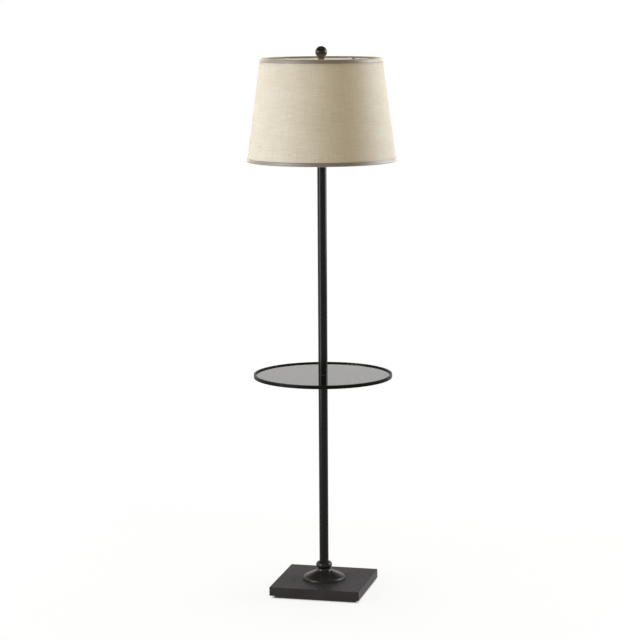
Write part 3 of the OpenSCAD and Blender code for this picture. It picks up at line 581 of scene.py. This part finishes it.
# The tape: outer band, inner fold, its thickness, where its fold lies inside, the gap
# over the shade's edge, its rounded crown and the radius at its corners
TAPE_BAND = 10.5 * MM
TAPE_FOLD = 5 * MM
TAPE_SKIN = 1.0 * MM
TAPE_FOLD_NEAR = 6.05 * MM
TAPE_FOLD_FAR = 6.8 * MM
TAPE_CEILING = 0.85 * MM
TAPE_CROWN = 1.6 * MM
TAPE_NIB = 0.15 * MM
BAND_STEPS = 8
FOLD_STEPS = 5
CROWN_STEPS = 11

# The tape's own lap, how far the rest of it lies under the lap, and how that fades out
TAPE_LAP = 16 * MM
TAPE_SINK = 0.35 * MM
TAPE_FADE = 4 * MM


def cone_of(node):
    """Outer radius at a height, as a function, with the lowest and highest z of a conical
    node."""
    points = np.array([v.co for v in frame["nodes"][node].data.vertices])
    low, high = points[:, 2].min(), points[:, 2].max()
    reach = np.hypot(points[:, 0], points[:, 1])
    bottom = reach[points[:, 2] < low + MM].max()
    top = reach[points[:, 2] > high - MM].max()
    return lambda z: bottom + (z - low) / (high - low) * (top - bottom), low, high


def swept(name, section, lift, around):
    """Sweeps a closed section of (radius, z) pairs round the shade from its seam, with
    short steps over the seam. lift gives how far each point stands out at a distance."""
    lap_end = max(SEAM_WIDTH, TAPE_LAP) + LAP_MARGIN
    ends = np.concatenate([
        np.arange(0, lap_end, SEAM_STEP),
        np.linspace(lap_end, around, SHADE_TURNS),
    ])
    angles = math.radians(SEAM_HEADING) + ends[:-1] / around * 2 * math.pi
    radius, height = section.T
    out = radius[None, :] + np.array([lift(d) for d in ends[:-1]])
    rings = np.stack([
        out * np.cos(angles)[:, None],
        out * np.sin(angles)[:, None],
        np.broadcast_to(height, out.shape),
    ], axis=2)
    closed = np.vstack([section, section[:1]])
    widths = np.concatenate([[0], np.cumsum(np.linalg.norm(np.diff(closed, axis=0), axis=1))])
    return loft(name, rings, ends, widths)


def make_linen():
    """The fabric with the overlap of its glued seam at the back, the size it was cut to
    and its flat area."""
    radius, low, high = cone_of("shade_fabric")
    heights = np.linspace(low, high, LINEN_STEPS)
    outer = [(radius(z), z) for z in heights]
    inner = [(radius(z) - LINEN_THICKNESS, z) for z in heights[::-1]]
    section = np.array(outer + inner)
    on_outside = np.array([1.0] * len(outer) + [0.0] * len(inner))
    around = 2 * math.pi * radius((low + high) / 2)

    def lift(distance):
        rise = step_between(distance, 0, SEAM_EDGE)
        fall = step_between(distance, SEAM_WIDTH, SEAM_WIDTH + SEAM_FADE)
        return on_outside * SEAM_RISE * (rise - fall)

    linen = swept("shade_linen", section, lift, around)
    slant = math.hypot(high - low, radius(low) - radius(high))
    spread = (radius(low) - radius(high)) / slant
    far, near = radius(low) / spread, radius(high) / spread
    half = math.pi * spread
    flat = (2 * far * math.sin(half) + SEAM_WIDTH, far - near * math.cos(half))
    area = math.pi * (radius(low) + radius(high)) * slant + SEAM_WIDTH * slant
    return linen, flat, area


def make_tape(name, upward):
    """Tape folded over an edge of the shade, with its own lap beside the seam."""
    edge_r = SHADE_TOP_R if upward else SHADE_BOTTOM_R
    edge_z = SHADE_TOP_Z if upward else SHADE_BOTTOM_Z
    way = -1 if upward else 1
    nib = TAPE_NIB

    def at(depth, inwards):
        return (edge_r - way * depth * SHADE_SLOPE - inwards, edge_z + way * depth)

    outer = [at(d, 0) for d in np.linspace(TAPE_CROWN, TAPE_BAND - 3 * nib, BAND_STEPS)]
    end = [
        at(TAPE_BAND - nib, nib),
        at(TAPE_BAND, TAPE_SKIN / 2),
        at(TAPE_BAND - nib, TAPE_SKIN - nib),
    ]
    under = [at(d, TAPE_SKIN) for d in (TAPE_BAND - 3 * nib, TAPE_CEILING + 3 * nib)]
    ceiling = [at(TAPE_CEILING, TAPE_SKIN + nib), at(TAPE_CEILING, TAPE_FOLD_NEAR - nib)]
    fold = [at(d, TAPE_FOLD_NEAR) for d in (TAPE_CEILING + 3 * nib, TAPE_FOLD - nib)]
    fold_end = [at(TAPE_FOLD, TAPE_FOLD_NEAR + nib), at(TAPE_FOLD, TAPE_FOLD_FAR - nib)]
    inner = [at(d, TAPE_FOLD_FAR) for d in np.linspace(TAPE_FOLD - nib, TAPE_CROWN, FOLD_STEPS)]
    over = [
        at(TAPE_CROWN * (1 - math.sqrt(math.sin(math.pi * t))), TAPE_FOLD_FAR * (1 - t))
        for t in np.linspace(0, 1, CROWN_STEPS)[1:-1]
    ]
    loose = outer + end + under
    fixed = ceiling + fold + fold_end + inner
    section = np.array(loose + fixed + over)
    rising = list(np.linspace(0, 1, len(over) + 2)[1:-1])
    share = np.array([1.0] * len(loose) + [0.0] * len(fixed) + rising)
    if upward:
        section, share = section[::-1], share[::-1]

    def lift(distance):
        rise = step_between(distance, 0, SEAM_STEP)
        fall = step_between(distance, TAPE_LAP, TAPE_LAP + TAPE_FADE)
        return share * TAPE_SINK * (rise - fall - 1)

    return swept(name, section, lift, 2 * math.pi * edge_r)


def dress_shade(materials):
    """Puts the linen and the two tapes in place of the shade's plain solids."""
    linen, flat, area = make_linen()
    for name, node, upward in (
        ("top_tape", "shade_top_trim", True),
        ("bottom_tape", "shade_bottom_trim", False),
    ):
        tape = make_tape(name, upward)
        tape.data.materials.append(materials["tape"])
        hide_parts(node)
        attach(tape, "shade")
    linen.data.materials.append(materials["linen"])
    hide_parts("shade_fabric")
    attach(linen, "shade")


# ---------- Bulb ----------

# The rolled thread of the bulb's base: its pitch and depth, the sheet's thickness, how
# the thread fades out into the plain sheet, and the steps round it, up it and down inside
THREAD_PITCH = 3.63 * MM
THREAD_DEPTH = 0.6 * MM
THREAD_WALL = 0.35 * MM
THREAD_FADE = 2 * MM
THREAD_TURNS = 96
OUTER_STEPS = 90
INNER_STEPS = 60

# The base's cone and the flat tip under it, its plain collar, its rounded mouth and the
# height of its floor inside
CONE_HEIGHT = 3.8 * MM
TIP_RADIUS = 6.5 * MM
COLLAR_HEIGHT = 4.2 * MM
MOUTH_RADIUS = 0.4 * MM
FLOOR_HEIGHT = 5.8 * MM


def make_bulb_base():
    """The bulb's screw base with its rolled thread, and a plain collar round the glass."""
    low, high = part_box("bulb_base")
    radius = high.x
    height = high.z - low.z
    collar = height - COLLAR_HEIGHT

    def skin(z, angle, wall):
        """Radius of the rolled sheet at a height over the base's foot."""
        rise = step_between(z, CONE_HEIGHT, CONE_HEIGHT + THREAD_FADE)
        fall = step_between(z, collar - THREAD_FADE, collar)
        wave = 0.5 - 0.5 * math.cos(2 * math.pi * z / THREAD_PITCH - angle)
        return radius - wall - THREAD_DEPTH * (rise - fall) * wave

    outer = np.linspace(CONE_HEIGHT, height - MOUTH_RADIUS, OUTER_STEPS)
    inner = np.linspace(height - MOUTH_RADIUS, FLOOR_HEIGHT, INNER_STEPS)
    rings = []
    for i in range(THREAD_TURNS):
        angle = 2 * math.pi * i / THREAD_TURNS
        profile = [(TIP_RADIUS, 0)]
        profile += [(skin(z, angle, 0), z) for z in outer]
        profile += [(radius - THREAD_WALL / 2, height)]
        profile += [(skin(z, angle, THREAD_WALL), z) for z in inner]
        rings.append([(r * math.cos(angle), r * math.sin(angle), low.z + z) for r, z in profile])
    base = turned_solid("threaded_base", np.array(rings))
    sharpen(base)
    return base


def dress_bulb(materials):
    """Puts the threaded base in place of the bulb's plain one."""
    base = make_bulb_base()
    base.data.materials.append(materials["zinc"])
    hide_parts("bulb_base")
    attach(base, "bulb")


# ---------- Stage ----------

# The side lamps are a touch cooler than the top lamp and the fill from all round
KEY_COLOUR = (0.82, 0.925, 1.0)
TOP_COLOUR = (1.0, 0.9, 0.72)
FILL_COLOUR = (1.0, 0.77, 0.34, 1)
FILL_LEVEL = 0.39
WHITE = (1, 1, 1, 1)

# Distance of the side lamps from the pole
LAMP_DISTANCE = 2.6

# What glossy surfaces see: pale walls round the lamp and a dark ceiling. The heights are
# the upward parts of a unit direction
WALL_LEVEL = 0.9
CEILING_LEVEL = 0.05
CEILING_START = 0.3
CEILING_FULL = 0.6

# Half the floor's width in metres, and how much of it is plain white where it is seen:
# nearly all beside the base, and the rest between a near and a far limit, which are
# given in half widths of the base
FLOOR_HALF = 40
WHITE_BESIDE = 0.9
WHITE_BEYOND = 0.1
BEYOND_START = 2
BEYOND_FULL = 8


def seen_share(add, link, glossy):
    """1 for camera and transmitted rays, glossy for glossy rays, and 0 for rays that
    carry light."""
    paths = add("ShaderNodeLightPath").outputs
    total = None
    for name, share in (("Is Camera Ray", 1), ("Is Transmission Ray", 1), ("Is Glossy Ray", glossy)):
        node = add("ShaderNodeMath")
        node.operation = "MULTIPLY_ADD"
        node.use_clamp = True
        link(paths[name], node.inputs[0])
        node.inputs[1].default_value = share
        node.inputs[2].default_value = 0
        if total is not None:
            link(total, node.inputs[2])
        total = node.outputs["Value"]
    return total


def make_floor():
    """Pale floor that looks white where it is seen, apart from the lamp's own shadow:
    none of the white lies under the base, and a little is left out round it."""
    corners = [(-FLOOR_HALF, -FLOOR_HALF, 0), (FLOOR_HALF, -FLOOR_HALF, 0),
               (FLOOR_HALF, FLOOR_HALF, 0), (-FLOOR_HALF, FLOOR_HALF, 0)]
    floor = mesh_object("floor", corners, [(0, 1, 2, 3)])
    finish = Shading("pale_floor")
    finish.colour(finish.noise(4))
    finish.set(Roughness=0.9, Specular_IOR_Level=0.0)
    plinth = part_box("bottom_plate")[1].x
    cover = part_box("base_cover")[1].x
    axes = finish.axes()
    aside = finish.combine("ABSOLUTE", axes["X"])
    ahead = finish.combine("ABSOLUTE", axes["Y"])
    reach = finish.combine("MAXIMUM", aside, ahead)
    share = finish.combine(
        "ADD",
        finish.remap(reach, 0, WHITE_BESIDE, plinth, cover),
        finish.remap(reach, 0, WHITE_BEYOND, BEYOND_START * cover, BEYOND_FULL * cover),
    )
    share = finish.combine("MULTIPLY", share, seen_share(finish.add, finish.link, WALL_LEVEL))
    white = finish.add("ShaderNodeEmission")
    mix = finish.add("ShaderNodeMixShader")
    finish.link(share, mix.inputs["Fac"])
    finish.link(finish.surface.outputs["BSDF"], mix.inputs[1])
    finish.link(white.outputs["Emission"], mix.inputs[2])
    finish.link(mix.outputs["Shader"], finish.tree.nodes["Material Output"].inputs["Surface"])
    floor.data.materials.append(finish.material)


def make_world():
    """White where it is seen, pale walls and a dark ceiling in reflections, and a dim warm
    fill as a light."""
    world = bpy.data.worlds.new("studio")
    bpy.context.scene.world = world
    world.use_nodes = True
    tree = world.node_tree
    tree.nodes.clear()
    link = tree.links.new
    fill = tree.nodes.new("ShaderNodeBackground")
    fill.inputs["Color"].default_value = FILL_COLOUR
    fill.inputs["Strength"].default_value = FILL_LEVEL
    white = tree.nodes.new("ShaderNodeBackground")
    white.inputs["Color"].default_value = WHITE
    room = tree.nodes.new("ShaderNodeBackground")
    room.inputs["Color"].default_value = WHITE
    axes = tree.nodes.new("ShaderNodeSeparateXYZ")
    link(tree.nodes.new("ShaderNodeTexCoord").outputs["Generated"], axes.inputs["Vector"])
    falloff = tree.nodes.new("ShaderNodeMapRange")
    falloff.interpolation_type = "SMOOTHSTEP"
    for name, value in (("From Min", CEILING_START), ("From Max", CEILING_FULL),
                        ("To Min", WALL_LEVEL), ("To Max", CEILING_LEVEL)):
        falloff.inputs[name].default_value = value
    link(axes.outputs["Z"], falloff.inputs["Value"])
    link(falloff.outputs["Result"], room.inputs["Strength"])
    paths = tree.nodes.new("ShaderNodeLightPath").outputs
    lit = tree.nodes.new("ShaderNodeMixShader")
    link(paths["Is Glossy Ray"], lit.inputs["Fac"])
    link(fill.outputs["Background"], lit.inputs[1])
    link(room.outputs["Background"], lit.inputs[2])
    mix = tree.nodes.new("ShaderNodeMixShader")
    link(seen_share(tree.nodes.new, link, 0), mix.inputs["Fac"])
    link(lit.outputs["Shader"], mix.inputs[1])
    link(white.outputs["Background"], mix.inputs[2])
    output = tree.nodes.new("ShaderNodeOutputWorld")
    link(mix.outputs["Shader"], output.inputs["Surface"])


def softbox(name, heading, height, size, power, aim_height, distance=LAMP_DISTANCE, colour=KEY_COLOUR):
    """Rectangular lamp, in metres and watts, that faces the pole at its aim height;
    heading 0 is the camera's side, and 90 its right."""
    data = bpy.data.lights.new(name, "AREA")
    data.shape = "RECTANGLE"
    data.size, data.size_y = size
    data.energy = power
    data.color = colour
    lamp = bpy.data.objects.new(name, data)
    bpy.context.scene.collection.objects.link(lamp)
    lamp.location = turned((0, -distance, height), CAMERA_AZIMUTH + heading)
    aim = Vector((0, 0, aim_height)) - lamp.location
    lamp.rotation_mode = "QUATERNION"
    lamp.rotation_quaternion = aim.to_track_quat("-Z", "Y")
    return lamp


def make_lights():
    """Two large lamps beside the shade, a weak one behind its left edge, and one overhead
    that reflections don't show."""
    softbox("left_box", heading=-61, height=1.0, size=(1.5, 2.2), power=80, aim_height=0.95)
    softbox("left_rear_box", heading=-114, height=1.8, size=(1.5, 1.4), power=15, aim_height=1.3)
    softbox("right_box", heading=105, height=1.6, size=(1.5, 2.0), power=83, aim_height=1.1)
    top = softbox("top_box", heading=180, height=3.2, size=(1.3, 1.3), power=90, aim_height=0.6,
                  distance=0.2, colour=TOP_COLOUR)
    top.visible_glossy = False


# ---------- The scene ----------

def dress_frame(materials):
    """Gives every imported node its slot's material and smooth shading. The table's rim is
    painted darker and glossier than the base."""
    slots = {part["node"]: part["material_slot"] for part in frame["record"]["subparts"]}
    for node, obj in frame["nodes"].items():
        obj.data.materials.clear()
        obj.data.materials.append(materials[slots[node]])
        sharpen(obj)
    rim = powder_coat("rim_metal", roughness=0.24, level=0.03, peel=0.15)
    frame["nodes"]["table_rim"].data.materials[0] = rim


make_camera()
materials = make_materials()
dress_frame(materials)
dress_shade(materials)
dress_bulb(materials)
make_floor()
make_world()
make_lights()
bpy.context.scene.view_settings.view_transform = "Standard"
